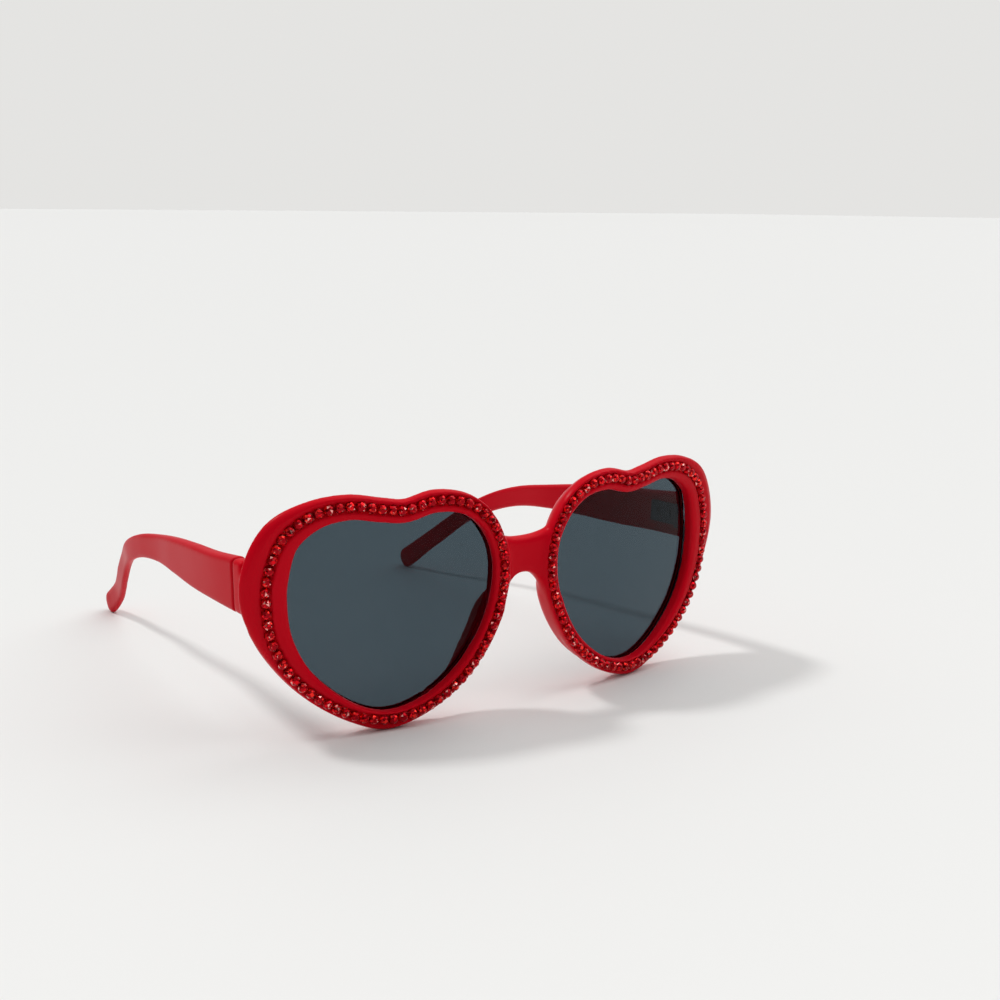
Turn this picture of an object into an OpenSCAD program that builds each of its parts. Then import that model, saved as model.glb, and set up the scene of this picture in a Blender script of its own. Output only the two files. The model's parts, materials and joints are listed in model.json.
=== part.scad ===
// Heart shaped sunglasses with a row of faceted stones round each lens.
// +Z is up from the table, -Y is the way the lenses look, +X is the wearer's left.
// The origin is on the table, under the middle of the whole.

/* [Front] */
// Width of one heart along its row of stones
heart_w = 60.8; // [52:0.2:68]
// Height of one heart along its row of stones
heart_h = 52.4; // [46:0.2:58]
// From the middle of the front to the nearest stone line
heart_gap = 7.2; // [6.6:0.1:9]
// Radius of the curve that the front wraps round
wrap_r = 250; // [200:5:500]
// Depth of a rim from its front to its back
rim_d = 5.6; // [5:0.1:7]
// Widest place between the stone line and the lens opening
inner_band = 5.1; // [4.6:0.1:5.6]
// Widest place between the stone line and the outer edge
outer_band = 6.4; // [5.6:0.1:7.2]
// Height of the crown of the outer band over the reference face
crown_h = 0.3; // [0.1:0.05:0.6]
// Depth of the flat worn under each heart where it stands
rest_cut = 0.12; // [0.05:0.01:0.3]

/* [Stones] */
// Diameter of a stone at its base
stone_d = 2.24; // [1.8:0.02:2.4]
// Height of a stone
stone_h = 1.25; // [0.8:0.05:1.6]
// Distance from one stone to the next
stone_pitch = 2.54; // [2.4:0.02:3.2]
// Depth of the channel that the stones sit in
channel_d = 0.6; // [0.3:0.05:0.9]
// Room beside a stone in its channel
channel_clear = 0.18; // [0.1:0.02:0.3]
// Thickness of the cement under a stone
cement_t = 0.02; // [0.01:0.01:0.05]

/* [Lenses] */
// Thickness of a lens
lens_t = 1.8; // [1.4:0.1:2.2]
// From the front of a rim back to the lens
lens_recess = 2.9; // [2.2:0.1:3]
// Depth of the groove that holds the lens
groove_d = 1; // [0.7:0.1:1.2]
// Room round a lens in its groove
lens_clear = 0.05; // [0.02:0.01:0.1]

/* [Bridge and nose pads] */
// Height of the top of the bridge over the table
bridge_z = 43.2; // [41:0.2:45]
// Height of the bridge at its middle
bridge_h = 9.2; // [8:0.2:11]
// How far the top of the bridge rises at its two ends
bridge_rise = 1.8; // [1:0.1:4]
// How far the bottom of the bridge falls at its two ends
bridge_fall = 9.5; // [6:0.5:12]
// How far the front of the bridge lies behind the front of a rim at its ends
bridge_set = 0.8; // [0.7:0.1:1.5]
// How far the front of the bridge is hollowed
bridge_dip = 0.7; // [0.3:0.1:1.5]
// Radius of the bridge's long edges
bridge_round = 1.3; // [0.8:0.1:1.8]
// How far a nose pad reaches behind the rim
pad_reach = 4; // [3:0.2:6]
// Thickness of a nose pad at its back
pad_t = 1.8; // [1.4:0.1:2.4]
// How far a nose pad leans away from the nose
pad_lean = 2.2; // [1:0.2:3]
// From the outer edge of the rim in to the root of a nose pad
pad_inset = 1.2; // [0.8:0.1:1.6]

/* [Temples] */
// Reach of a temple from its joint to the back of its tip
temple_l = 121; // [112:0.2:132]
// Height of a temple at its joint
temple_h = 13; // [12:0.2:16]
// Thickness of a temple at its joint
temple_t = 4; // [3.4:0.1:4.6]
// Height of a temple's middle line at its joint over the table
temple_z = 37.5; // [36:0.1:40]
// How far a temple's tip is bowed in
temple_bow = 14.2; // [8:0.2:18]
// Half height of the rounded tip
tip_r = 3.4; // [3:0.1:4.4]
// Radius of a temple's long edges
temple_round = 1.3; // [0.8:0.1:1.5]
// How far the left temple stands folded in, in degrees
left_rest = 4.6; // [0:0.2:6]
// How far the end piece reaches behind the rim
end_piece_l = 1.6; // [1.2:0.1:2.4]

/* [Hinges] */
// Radius of a hinge barrel
barrel_r = 1.5; // [1.3:0.05:1.7]
// Height of one hinge barrel
barrel_h = 1.9; // [1.5:0.1:2.4]
// Gap between two hinge barrels
barrel_gap = 0.1; // [0.05:0.01:0.2]
// Radius of the hinge screw
screw_r = 0.7; // [0.5:0.05:0.8]
// Radial running clearance round the hinge screw
screw_clear = 0.05; // [0.02:0.01:0.1]
// Radius of the screw's head
head_r = 1.2; // [1:0.05:1.4]
// Height of the screw's head
head_h = 0.6; // [0.4:0.1:0.8]
// Thickness of a hinge leaf's plate
leaf_t = 1.2; // [0.8:0.1:1.4]
// Length of the leaf that is sunk in the temple
temple_leaf_l = 11.5; // [8:0.5:14]
// Length of the leaf that is sunk in the end piece
front_leaf_l = 4.6; // [4:0.1:5]
// Radius of the rivet heads on the leaf in the temple
rivet_r = 0.9; // [0.6:0.1:1.2]
// Height of those rivet heads
rivet_h = 0.3; // [0.2:0.1:0.5]
// Gap between a temple's end and the end piece
butt_gap = 0.1; // [0.05:0.01:0.2]
// Gap round a sunk leaf
leaf_clear = 0.04; // [0.02:0.01:0.08]

/* [Hidden] */

// One heart, anticlockwise from its temple side: across, up, inner band, outer band, and how
// far the outer band falls back at its edge as a share of the rim's depth.
heart_shares = [
    [1, 0.58, 1, 0.9, 0.12], [0.99, 0.72, 1, 0.95, 0.03], [0.93, 0.88, 0.86, 0.78, 0],
    [0.81, 0.975, 0.72, 0.5, 0.03], [0.67, 1, 0.62, 0.42, 0.05], [0.54, 0.978, 0.61, 0.4, 0.05],
    [0.44, 0.966, 0.61, 0.38, 0.05], [0.31, 0.995, 0.59, 0.38, 0.05], [0.17, 0.965, 0.54, 0.34, 0.03],
    [0.06, 0.86, 0.5, 0.29, 0], [0.005, 0.7, 0.49, 0.28, 0], [0.008, 0.53, 0.49, 0.3, 0],
    [0.06, 0.36, 0.45, 0.3, 0.03], [0.145, 0.202, 0.47, 0.245, 0.12], [0.266, 0.083, 0.44, 0.245, 0.17],
    [0.4, 0.015, 0.38, 0.34, 0.14], [0.53, 0, 0.345, 0.47, 0.12], [0.663, 0.04, 0.48, 0.35, 0.2],
    [0.796, 0.132, 0.66, 0.32, 0.26], [0.907, 0.256, 0.83, 0.35, 0.28], [0.98, 0.418, 0.96, 0.57, 0.26]];
heart_rows = len(heart_shares);
stations = 72;
samples = 4;
foot_share = 0.47;
stone_z = outer_band * foot_share - rest_cut;

// Section of a rim. In front: share of a band past the channel, and depth over the crown's height.
inner_front_shares = [[1, 3.6], [0.9, 1.6], [0.55, 0.3], [0.12, 0]];
// Drop of the channel's outer lip as a share of the fall, and its limit as a share of the channel.
lip_share = 0.35;
lip_limit_share = 0.6;
outer_front_shares = [[0.1, 0], [0.4, -1], [0.74, -0.4], [0.94, 1.6], [1, 5]];
// Behind, outside: share of the outer band, share of the rim's depth, and share of the fall.
outer_back_shares = [[1, 0.3, 1], [0.6, 0.62, 0.5], [-0.1, 1, 0]];
// Behind, inside: share of a band past the channel, and share of the rim's depth.
inner_back_shares = [[0.6, 1], [1, 0.94]];

channel_w = stone_d / 2 + channel_clear;
groove_t = lens_t + 2 * lens_clear;
round_fn = 360;

// Half of the bridge's length, the steps along it, how fast its two ends flare and how much
// their backs draw in.
bridge_x_share = 1.08;
bridge_steps = 10;
bridge_power = 2.6;
bridge_back_share = 1.5;
bridge_edge_fn = 16;
slice_t = 0.02;

// Rows of the heart between which a nose pad runs, and its steps.
pad_rows = [10.9, 14.3];
pad_steps = 12;
// Thickness that a nose pad keeps at its two ends.
pad_end_share = 0.4;
// Nose pad section: share of its reach, lean and thickness.
pad_shares = [[-0.8, 0, 1.2], [0.1, 0.12, 1], [0.5, 0.5, 0.92], [0.86, 0.86, 0.8], [1, 1, 0.4]];

// Middle line of a temple: along, up, bowed in, height at the root, height at the tip, thickness.
temple_shares = [
    [0, 1, 0, 1, 0, 1], [0.104, 0.98, 0, 0.9, 0, 0.97], [0.224, 0.958, 0.06, 0.845, 0, 0.92],
    [0.343, 0.938, 0.14, 0.72, 0, 0.86], [0.462, 0.904, 0.23, 0.565, 0, 0.8],
    [0.575, 0.845, 0.25, 0.49, 0, 0.72], [0.675, 0.738, 0.31, 0.45, 0, 0.62],
    [0.765, 0.58, 0.48, 0.4, 0, 0.52], [0.85, 0.37, 0.63, 0.43, 0.02, 0.48],
    [0.922, 0.18, 0.77, 0.21, 0.5, 0.5], [0.97, 0.065, 0.8, 0.06, 0.86, 0.53], [1, 0, 0.8, 0, 1, 0.56]];
temple_rows = len(temple_shares);
temple_steps = 30;
tip_angles = [20, 40, 58, 74, 86];
corner_angles = [0, 30, 60, 90];

// Where the rim ends beside a temple, and the joint behind it.
edge_share = 0.95;
edge_a = (heart_gap + heart_w + edge_share * outer_band) / wrap_r * 180 / PI;
edge_x = (wrap_r - rim_d) * sin(edge_a);
edge_y = wrap_r - (wrap_r - rim_d) * cos(edge_a);
joint_x = edge_x - temple_t / 2;
joint_y = edge_y + end_piece_l;
hinge_x = joint_x - temple_t / 2 - barrel_r - butt_gap;
hinge_h = 3 * barrel_h + 2 * barrel_gap;
bore_r = screw_r + screw_clear;
rivet_shares = [0.46, 0.86];
boss_y = joint_y - barrel_r - 4 * butt_gap;
leaf_sink = leaf_t / 2;
slot_w = head_r / 4;
slot_d = head_h / 2;

// Half of the length from the foremost stones to the back of the tips.
mid_y = (joint_y + temple_l - stone_h + channel_d - cement_t) / 2;

function turn(i, n) = (i % n + n) % n;

// Smooth curve through the rows of a table, closed or with held ends.
function blend(a, b, c, d, t) = 0.5 * (2 * b + (c - a) * t
    + (2 * a - 5 * b + 4 * c - d) * t * t + (3 * b - a - 3 * c + d) * t * t * t);
function closed_row(rows, u) = let (n = len(rows), i = floor(u))
    blend(rows[turn(i - 1, n)], rows[turn(i, n)], rows[turn(i + 1, n)], rows[turn(i + 2, n)], u - i);
function open_row(rows, u) = let (n = len(rows) - 1, i = min(floor(u), n - 1))
    blend(rows[max(i - 1, 0)], rows[i], rows[i + 1], rows[min(i + 2, n)], u - i);

// The heart's stone line in the unrolled front: [across, up], its tangent and its outward normal.
function heart_pt(u) = let (r = closed_row(heart_shares, u))
    [heart_gap + heart_w * r[0], stone_z + heart_h * r[1]];
function unit(v) = v / norm(v);
function heart_tangent(u) = unit(heart_pt(u + 0.01) - heart_pt(u - 0.01));
function heart_normal(u) = let (t = heart_tangent(u)) [t[1], -t[0]];
function inner_w(u) = inner_band * closed_row(heart_shares, u)[2];
function outer_w(u) = outer_band * closed_row(heart_shares, u)[3];
function fall(u) = rim_d * max(closed_row(heart_shares, u)[4], 0);

// Rolls a place across, up and back on to the wrapped front.
function wrapped(p, d) = let (a = p[0] / wrap_r * 180 / PI)
    [(wrap_r - d) * sin(a), wrap_r - (wrap_r - d) * cos(a), p[1]];

// Row number along the heart for a length along its stone line.
heart_steps = heart_rows * samples;
length_rows = [for (i = 0, l = 0; i <= heart_steps;
    l = l + norm(heart_pt((i + 1) / samples) - heart_pt(i / samples)), i = i + 1) [l, i / samples]];
heart_l = length_rows[heart_steps][0];
function row_at(l) = lookup(l, length_rows);
stone_count = round(heart_l / stone_pitch);

// Triangles between the rings of a sweep, and flat ends for an open one.
function side_faces(rings, m, closed) = [for (i = [0 : rings - (closed ? 1 : 2)], j = [0 : m - 1])
    let (a = i * m + j, b = i * m + (j + 1) % m, k = ((i + 1) % rings) * m)
    each [[a, k + j, k + (j + 1) % m], [a, k + (j + 1) % m, b]]];
function end_faces(rings, m) = [[for (j = [0 : m - 1]) j], [for (j = [m - 1 : -1 : 0]) (rings - 1) * m + j]];

module sweep(rings, closed = false) {
    n = len(rings);
    m = len(rings[0]);
    polyhedron(points = [for (r = rings) each r],
        faces = concat(side_faces(n, m, closed), closed ? [] : end_faces(n, m)), convexity = 10);
}

module standing() {
    translate([0, -mid_y, 0]) children();
}

module right_side() {
    mirror([1, 0, 0]) children();
}

// Section of a rim as [outwards, back]: inner wall, front, outer edge, back and lens groove.
// The outer lip of the channel drops where the outer band falls back, and leaves the stones proud.
function rim_section(u) = let (wi = inner_w(u), wo = outer_w(u), ib = wi - channel_w, ob = wo - channel_w,
    f = fall(u), lip = min(lip_share * f, lip_limit_share * channel_d))
    concat([[-wi, lens_recess]],
        [for (s = inner_front_shares) [-channel_w - s[0] * ib, s[1] * crown_h]],
        [[-channel_w, 0], [-channel_w, channel_d], [channel_w, channel_d], [channel_w, lip]],
        [for (s = outer_front_shares) [channel_w + s[0] * ob, s[1] * crown_h + s[0] * f + (1 - s[0]) * lip]],
        [for (s = outer_back_shares) [s[0] * wo, s[1] * rim_d + s[2] * f]],
        [for (s = inner_back_shares) [-channel_w - s[0] * ib, s[1] * rim_d]],
        [[-wi, lens_recess + groove_t], [groove_d - wi, lens_recess + groove_t],
        [groove_d - wi, lens_recess]]);

module rim() {
    sweep([for (i = [0 : stations - 1]) let (u = row_at(i * heart_l / stations), c = heart_pt(u),
        n = heart_normal(u)) [for (p = rim_section(u)) wrapped(c + p[0] * n, p[1])]], closed = true);
}

// Saddle bridge: a chain of rounded slices from one rim to the other.
module bridge_slice(t) {
    flare = pow(abs(t), bridge_power);
    top = bridge_z + flare * bridge_rise - bridge_round;
    bottom = bridge_z - bridge_h - flare * bridge_fall + bridge_round;
    front = bridge_set + bridge_dip * (1 - t * t) + bridge_round;
    back = rim_d - bridge_round - flare * bridge_back_share * bridge_set;
    translate([t * bridge_x_share * heart_gap, 0, 0])
        for (y = [front, back], z = [top, bottom])
            translate([0, y, z]) rotate([0, 90, 0])
                cylinder(r = bridge_round, h = slice_t, center = true, $fn = bridge_edge_fn);
}

module bridge() {
    for (i = [0 : bridge_steps - 1])
        hull() {
            bridge_slice(2 * i / bridge_steps - 1);
            bridge_slice(2 * (i + 1) / bridge_steps - 1);
        }
}

// Nose pad: a tongue along the nose side of the rim, which leans outwards behind it.
function pad_edge(u, grow, lean, s, side) = let (back = s[0] * pad_reach * (s[0] > 0 ? grow : 1),
    half = s[2] * pad_t / 2 * (pad_end_share + (1 - pad_end_share) * grow))
    [outer_w(u) - pad_inset - s[1] * lean + side * half, rim_d + back];
function pad_section(u, grow, lean) = concat(
    [for (i = [0 : len(pad_shares) - 1]) pad_edge(u, grow, lean, pad_shares[i], 1)],
    [for (i = [len(pad_shares) - 1 : -1 : 0]) pad_edge(u, grow, lean, pad_shares[i], -1)]);

module nose_pad() {
    sweep([for (i = [0 : pad_steps]) let (v = i / pad_steps, u = pad_rows[0] * (1 - v) + pad_rows[1] * v,
        c = heart_pt(u), n = heart_normal(u), grow = 0.04 + 0.96 * pow(sin(180 * pow(v, 0.62)), 0.9),
        lean = pad_lean * grow * (1.3 - 0.8 * v))
        [for (p = pad_section(u, grow, lean)) wrapped(c + p[0] * n, p[1])]]);
}

// Rounded bar section as [up, outwards], anticlockwise seen from its far end.
function bar_section(h, t) = let (r = min(temple_round, 0.45 * t, 0.45 * h))
    [for (q = [[1, 1], [-1, 1], [-1, -1], [1, -1]], a = corner_angles)
    let (b = q[0] * q[1] > 0 ? a : 90 - a)
    [q[0] * (h / 2 - r + r * cos(b)), q[1] * (t / 2 - r + r * sin(b))]];

module bar_slice(x, y, h, t) {
    translate([x, y, temple_z]) rotate([90, 0, 0])
        linear_extrude(slice_t) polygon([for (p = bar_section(h, t)) [p[1], p[0]]]);
}

// End piece: carries on the temple's section into the rim, with a boss for the hinge leaf.
module end_piece() {
    hull() {
        bar_slice(joint_x, joint_y - butt_gap, temple_h, temple_t);
        bar_slice(joint_x, edge_y - rim_d / 2, temple_h, temple_t);
    }
    boss_w = joint_x - hinge_x + 2 * barrel_r;
    hull() {
        bar_slice(joint_x - boss_w / 2, boss_y, hinge_h + 2 * temple_round, boss_w);
        bar_slice(joint_x - boss_w / 2, edge_y - rim_d * 0.4, hinge_h + 2 * temple_round, boss_w);
    }
}

module front_half() {
    difference() {
        union() {
            rim();
            nose_pad();
            end_piece();
        }
        front_leaf_body(leaf_clear);
    }
}

module front_frame() {
    color("#cc1226") standing() difference() {
        union() {
            front_half();
            right_side() front_half();
            bridge();
        }
        translate([0, 0, -wrap_r / 2]) cube(wrap_r, center = true);
    }
}

// Lens: the heart's opening and its groove, cut from a tube that wraps as the front does.
module lens_left() {
    edge = [for (i = [0 : stations - 1]) let (u = row_at(i * heart_l / stations), c = heart_pt(u),
        n = heart_normal(u), slant = lens_t / 2 * abs(n[0]) * tan(c[0] / wrap_r * 180 / PI))
        wrapped(c - (inner_w(u) - groove_d + 2 * lens_clear + slant) * n, lens_recess + groove_t / 2)];
    color("#3c444c") standing() intersection() {
        translate([0, 2 * rim_d + edge_y, 0]) rotate([90, 0, 0])
            linear_extrude(4 * rim_d + edge_y) polygon([for (p = edge) [p[0], p[2]]]);
        translate([0, wrap_r, 0]) difference() {
            cylinder(r = wrap_r - lens_recess - lens_clear, h = 2 * heart_h, $fn = round_fn);
            translate([0, 0, -heart_h]) cylinder(r = wrap_r - lens_recess - lens_clear - lens_t,
                h = 4 * heart_h, $fn = round_fn);
        }
    }
}

module lens_right() {
    right_side() lens_left();
}

// Stone: an eight sided base, and a smaller table turned half a side.
stone_sides = 8;
table_share = 0.5;
function stone_ring(u, r, a0, d) = let (c = heart_pt(u), t = heart_tangent(u), n = heart_normal(u))
    [for (k = [0 : stone_sides - 1]) let (a = a0 + k * 360 / stone_sides)
    wrapped(c + r * cos(a) * n + r * sin(a) * t, d)];

module stone(u) {
    m = stone_sides;
    seat = channel_d - cement_t;
    base = stone_ring(u, stone_d / 2, 0, seat);
    table = stone_ring(u, table_share * stone_d / 2, 180 / m, seat - stone_h);
    polyhedron(points = concat(base, table),
        faces = concat([for (k = [0 : m - 1]) [k, m + k, (k + 1) % m]],
            [for (k = [0 : m - 1]) [(k + 1) % m, m + k, m + (k + 1) % m]], end_faces(2, m)));
}

module stones_left() {
    color("#8c0a18") standing()
        for (i = [0 : stone_count - 1]) stone(row_at((i + 0.5) * heart_l / stone_count));
}

module stones_right() {
    right_side() stones_left();
}

// Temple: rounded bar swept along its middle line, with a half round tip.
function temple_pt(r) = [joint_x - temple_bow * r[2], joint_y + (temple_l - tip_r) * r[0],
    tip_r + (temple_z - tip_r) * r[1]];
function temple_ring(c, along, h, t) = let (out = unit([1, 0, 0] - along * along[0]), up = cross(out, along))
    [for (p = bar_section(h, t)) c + p[0] * up + p[1] * out];
function temple_along(u) = u < 0.5 / temple_steps ? [0, 1, 0]
    : let (n = temple_rows - 1, e = 0.01)
    unit(temple_pt(open_row(temple_shares, min(u + e, n))) - temple_pt(open_row(temple_shares, u - e)));

module temple_bar() {
    end_u = temple_rows - 1;
    end_c = temple_pt(temple_shares[end_u]);
    end_along = temple_along(end_u);
    end_t = temple_t * temple_shares[end_u][5];
    sweep(concat(
        [for (i = [0 : temple_steps]) let (u = i * end_u / temple_steps, r = open_row(temple_shares, u))
            temple_ring(temple_pt(r), temple_along(u), temple_h * r[3] + 2 * tip_r * r[4], temple_t * r[5])],
        [for (a = tip_angles) temple_ring(end_c + tip_r * sin(a) * end_along, end_along,
            2 * tip_r * cos(a), end_t * sqrt(cos(a)))]));
}

module temple_body() {
    difference() {
        temple_bar();
        temple_leaf_body(leaf_clear);
    }
}

// The left temple stands a little folded in.
module rested() {
    translate([hinge_x, joint_y, 0]) rotate([0, 0, left_rest])
        translate([-hinge_x, -joint_y, 0]) children();
}

module temple_left() {
    color("#d01c30") standing() rested() temple_body();
}

module temple_right() {
    color("#d01c30") right_side() standing() temple_body();
}

// Hinge leaves about the pin's axis. Grow widens them all round, to cut their seats.
module at_hinge() {
    translate([hinge_x, joint_y, temple_z]) children();
}

module front_leaf_body(grow) {
    at_hinge() translate([-barrel_r - grow, -front_leaf_l - grow, -hinge_h / 2 - grow])
        cube([leaf_t + 2 * grow, front_leaf_l - barrel_r - butt_gap + 2 * grow, hinge_h + 2 * grow]);
}

module front_barrel(z) {
    translate([0, 0, z]) difference() {
        union() {
            cylinder(r = barrel_r, h = barrel_h, $fn = round_fn);
            translate([-barrel_r, -barrel_r - 2 * butt_gap, 0])
                cube([leaf_t, barrel_r + 2 * butt_gap, barrel_h]);
        }
        translate([0, 0, -barrel_h]) cylinder(r = bore_r, h = 3 * barrel_h, $fn = round_fn);
    }
}

module front_hinge_leaf_left() {
    color("#b9bbbf") standing() {
        front_leaf_body(0);
        at_hinge() {
            front_barrel(-hinge_h / 2);
            front_barrel(hinge_h / 2 - barrel_h);
        }
    }
}

module front_hinge_leaf_right() {
    right_side() front_hinge_leaf_left();
}

module temple_leaf_body(grow) {
    at_hinge() {
        translate([barrel_r + butt_gap - leaf_sink - grow, 0, -barrel_h / 2 - grow])
            cube([leaf_t + 2 * grow, barrel_r + 5 * butt_gap, barrel_h + 2 * grow]);
        translate([barrel_r + butt_gap - leaf_sink - grow, barrel_r + 4 * butt_gap - grow, -hinge_h / 2 - grow])
            cube([leaf_t + 2 * grow, temple_leaf_l - barrel_r + 2 * grow, hinge_h + 2 * grow]);
    }
}

module temple_leaf() {
    difference() {
        union() {
            temple_leaf_body(0);
            at_hinge() {
                translate([0, 0, -barrel_h / 2]) cylinder(r = barrel_r, h = barrel_h, $fn = round_fn);
                for (y = rivet_shares)
                    translate([barrel_r + butt_gap - leaf_sink - rivet_h, y * temple_leaf_l, 0])
                        rotate([0, 90, 0]) cylinder(r = rivet_r, h = rivet_h + leaf_t / 2, $fn = round_fn);
            }
        }
        at_hinge() translate([0, 0, -barrel_h]) cylinder(r = bore_r, h = 2 * barrel_h, $fn = round_fn);
    }
}

module temple_hinge_leaf_left() {
    color("#b9bbbf") standing() rested() temple_leaf();
}

module temple_hinge_leaf_right() {
    color("#b9bbbf") right_side() standing() temple_leaf();
}

module hinge_screw_left() {
    color("#9a9ca0") standing() at_hinge() difference() {
        union() {
            translate([0, 0, -hinge_h / 2]) cylinder(r = screw_r, h = hinge_h, $fn = round_fn);
            translate([0, 0, hinge_h / 2]) cylinder(r = head_r, h = head_h, $fn = round_fn);
        }
        translate([-head_r, -slot_w / 2, hinge_h / 2 + head_h - slot_d]) cube([2 * head_r, slot_w, head_h]);
    }
}

module hinge_screw_right() {
    right_side() hinge_screw_left();
}

front_frame();
lens_left();
lens_right();
stones_left();
stones_right();
temple_left();
temple_right();
front_hinge_leaf_left();
front_hinge_leaf_right();
temple_hinge_leaf_left();
temple_hinge_leaf_right();
hinge_screw_left();
hinge_screw_right();
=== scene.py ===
"""Looks of the heart shaped sunglasses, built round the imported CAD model.

+Z is up from the table, -Y is the way the lenses look and +X is the wearer's left. Shapes are worked out in
millimetres, from the same driving dimensions as in the part's source, and go into the scene in metres.
"""

import json
import math

import bpy
import numpy as np
from mathutils import Matrix, Vector


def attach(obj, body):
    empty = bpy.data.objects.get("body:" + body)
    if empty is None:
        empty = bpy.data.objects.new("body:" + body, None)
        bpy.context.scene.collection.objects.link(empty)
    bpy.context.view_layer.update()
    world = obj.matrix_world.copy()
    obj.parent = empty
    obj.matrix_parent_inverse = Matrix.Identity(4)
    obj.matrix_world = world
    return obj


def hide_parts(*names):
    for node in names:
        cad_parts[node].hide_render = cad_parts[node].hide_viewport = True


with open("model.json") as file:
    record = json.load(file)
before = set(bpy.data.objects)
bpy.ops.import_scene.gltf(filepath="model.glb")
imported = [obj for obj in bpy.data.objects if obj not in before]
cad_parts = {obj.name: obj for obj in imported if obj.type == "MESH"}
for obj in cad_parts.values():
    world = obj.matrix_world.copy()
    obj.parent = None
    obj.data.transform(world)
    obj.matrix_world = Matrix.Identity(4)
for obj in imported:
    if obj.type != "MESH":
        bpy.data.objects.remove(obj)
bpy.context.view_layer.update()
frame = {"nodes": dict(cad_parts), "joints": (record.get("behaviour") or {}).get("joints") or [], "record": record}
MM = 0.001

# Camera, solved from the photograph: its place, the way it looks and its roll
CAMERA_AT = Vector((-196.8, -326.9, 119.9)) * MM
CAMERA_LOOK = Vector((0.537, 0.776, -0.330))
CAMERA_ROLL = math.radians(0.61)
# Its focal length and the place of its axis in pixels, and the side of the photograph
FOCAL_PX = 1356.4
MIDDLE_PX = (466.9, 678.9)
FRAME_PX = 1000
SENSOR_MM = 36
CLIP_START = 0.01

# Lamps: name, the way the light travels, strength, and spread in degrees
SUNS = [
    ("key", (0.35, -0.45, -0.82), 1.10, 8),
    ("soft", (-0.55, 0.10, -0.83), 1.1, 60),
]
# Room: strength, the way to its bright side, where along that way it is dim and lit, and both lights
WORLD_STRENGTH = 0.75
WORLD_TOWARDS = (0.10, 0.20, 0.97)
WORLD_RANGE = (-0.05, 0.95)
WORLD_DIM = (0.08, 0.08, 0.085)
WORLD_LIT = (1.0, 1.0, 1.0)
# What the camera sees behind the floor, and the floor's colour, roughness and size in metres
BACKDROP = (0.78, 0.775, 0.76)
FLOOR_COLOUR = (0.80, 0.80, 0.785)
FLOOR_ROUGHNESS = 0.6
FLOOR_SIZE = 40

# Moulded plastics: colour, its deeper shade, roughness, specular level, pale bloom and strength of the waves
FRONT_LOOK = dict(colour=(0.64, 0.001, 0.012), deep=(0.61, 0.001, 0.010), roughness=0.30, specular=0.05,
                  sheen=0.30, wave=0.08)
TEMPLE_LOOK = dict(colour=(0.60, 0.002, 0.013), deep=(0.58, 0.001, 0.011), roughness=0.36, specular=0.07,
                   sheen=0.08, wave=0.05)
BLOOM_TINT = (1.0, 0.62, 0.72)
# Other materials: colour, and the two colours between which it varies
LENS_COLOUR = (0.060, 0.086, 0.104)
LENS_PATCHES = ((0.058, 0.084, 0.102), (0.062, 0.088, 0.106))
STONE_COLOUR = (0.45, 0.001, 0.008)
# The hinge metal is far darker than bare nickel: painted shade, for the shade it lies in behind the lens
SHADED_METAL_COLOUR = (0.13, 0.13, 0.135)
SHADED_METAL_PATCHES = ((0.11, 0.11, 0.115), (0.15, 0.15, 0.155))
# Reds of the stones' facets, each from the share of the facets at which it begins: painted sparkle, dark for
# facets that miss the light, bright for those that catch it, and pale pink for painted glints
PAINTED_FACET_SPARKLE = [
    (0.0, (0.34, 0.0, 0.006)),
    (0.66, (0.80, 0.002, 0.010)),
    (0.86, (1.0, 0.03, 0.02)),
    (0.955, (1.0, 0.42, 0.38)),
]
# Most noise values lie between these two
NOISE_RANGE = (0.3, 0.7)
# Faces of a CAD node that meet at more than this angle keep a sharp edge, in degrees
SHARP_ANGLE = 32

# Front: a heart's width and height along its stone line, and from the front's middle to that line
HEART_W = 60.8
HEART_H = 52.4
HEART_GAP = 7.2
# Radius of the curve that the front wraps round
WRAP_R = 250
# A rim's depth, its widest bands inside and outside the stone line, and the height of its crown
RIM_D = 5.6
INNER_BAND = 5.1
OUTER_BAND = 6.4
CROWN_H = 0.3
# Height of the stone line's lowest point: a share of the outer band, less the flat worn under each heart
FOOT_SHARE = 0.47
REST_CUT = 0.12
STONE_Z = FOOT_SHARE * OUTER_BAND - REST_CUT

# Stones: diameter, height, number of sides, and thickness of the cement under them
STONE_D = 2.24
STONE_H = 1.25
STONE_SIDES = 8
CEMENT_T = 0.02
# Channel that the stones sit in: room beside a stone, half of its width, and its depth
CHANNEL_CLEAR = 0.18
CHANNEL_W = STONE_D / 2 + CHANNEL_CLEAR
CHANNEL_D = 0.6
# Cut of a stone, from its foot up: share of its radius, share of its height, and turn in half sides
STONE_RINGS = [
    (1.26, 0.0, 0),
    (1.20, 0.34, 0),
    (1.14, 0.48, 0),
    (0.92, 0.86, 1),
    (0.56, 1.12, 0),
    (0.48, 1.15, 0),
]
# Spread of the slope at which the stones lean
STONE_LEAN = 0.5 * math.tan(math.radians(8))
STONE_SEED = 11
# Digits of a metre to which two corners of a solid are the same one
SAME_DIGITS = 7

# Lenses: thickness, room in the groove, depth behind the rim's front, and the groove's width and depth
LENS_T = 1.8
LENS_CLEAR = 0.05
LENS_RECESS = 2.9
GROOVE_T = LENS_T + 2 * LENS_CLEAR
GROOVE_D = 1.0

# Bridge: height of its top, its own height, and how far its top rises and its bottom falls at both ends
BRIDGE_Z = 43.2
BRIDGE_H = 9.2
BRIDGE_RISE = 1.8
BRIDGE_FALL = 9.5
# How far its front lies behind the rim's, how far it is hollowed, and how far its back draws in at both ends
BRIDGE_SET = 0.8
BRIDGE_DIP = 0.7
BRIDGE_BACK = 1.5 * BRIDGE_SET
# Radius of its long edges, half of its length, and how fast its two ends flare
BRIDGE_ROUND = 1.3
BRIDGE_X = 1.08 * HEART_GAP
BRIDGE_POWER = 2.6

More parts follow.
